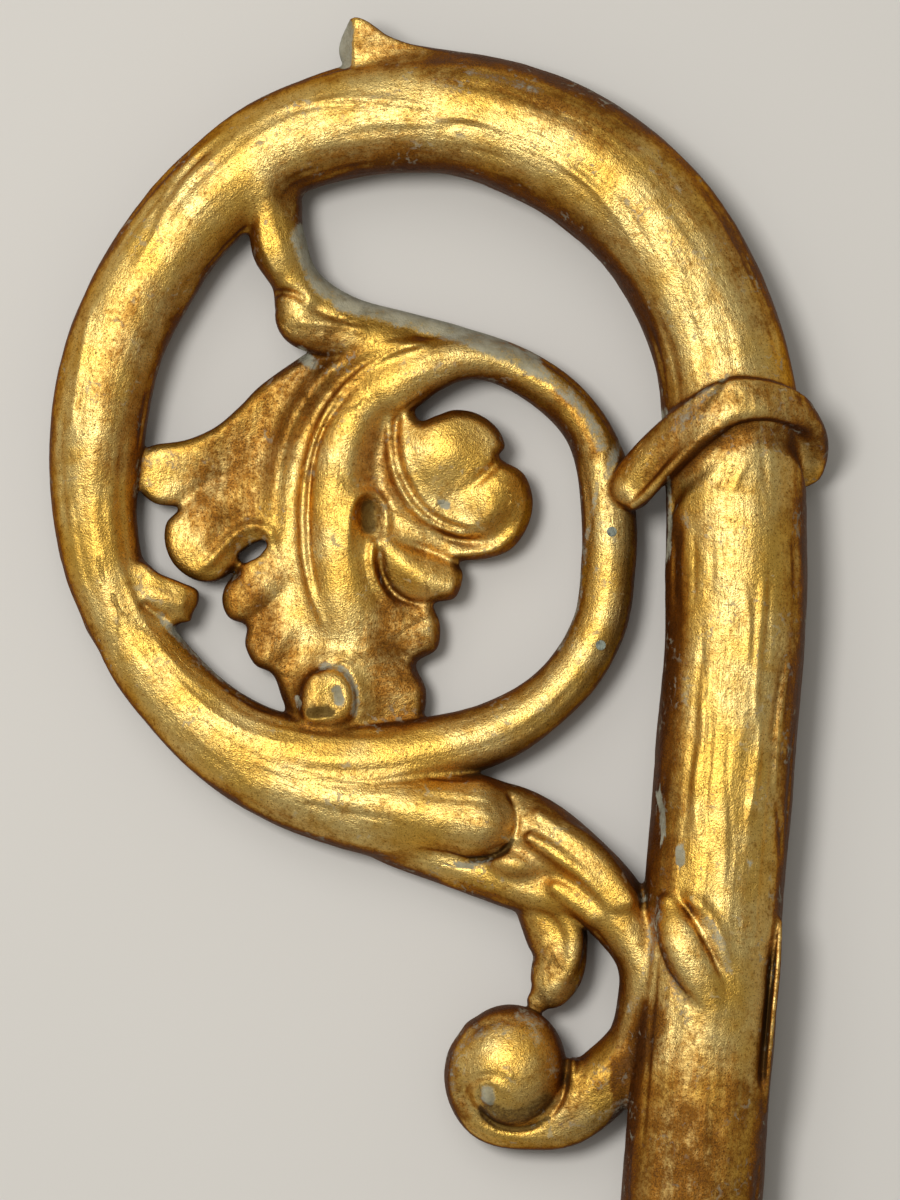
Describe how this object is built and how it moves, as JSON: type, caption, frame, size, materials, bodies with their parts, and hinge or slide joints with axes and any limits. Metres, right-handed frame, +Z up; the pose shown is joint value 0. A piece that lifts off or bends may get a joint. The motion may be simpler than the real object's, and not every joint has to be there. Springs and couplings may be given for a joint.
{
  "type": "bishop crosier",
  "caption": "Bishop's crosier of carved gilded wood: a long round staff ending in a crook that curls round an acanthus leaf, with a tie band and a scrolled bracket.",
  "frame": {"origin": "centre of the flat face of the staff's foot", "axes": "+Y up the staff's axis to the crook, +Z up off the surface that the crosier lies on, out of the crook's carved face; the crook curls towards -X"},
  "size_m": [0.1582, 1.4513, 0.0326],
  "materials": {
    "gilding": "burnished gold leaf over brown bole and gesso on carved wood, worn, cracked and grimed",
    "pins": "tarnished grey green"
  },
  "bodies": {
    "root": {"crosier": "gilding", "pin_upper": "pins", "pin_lower": "pins"}
  },
  "joints": []
}
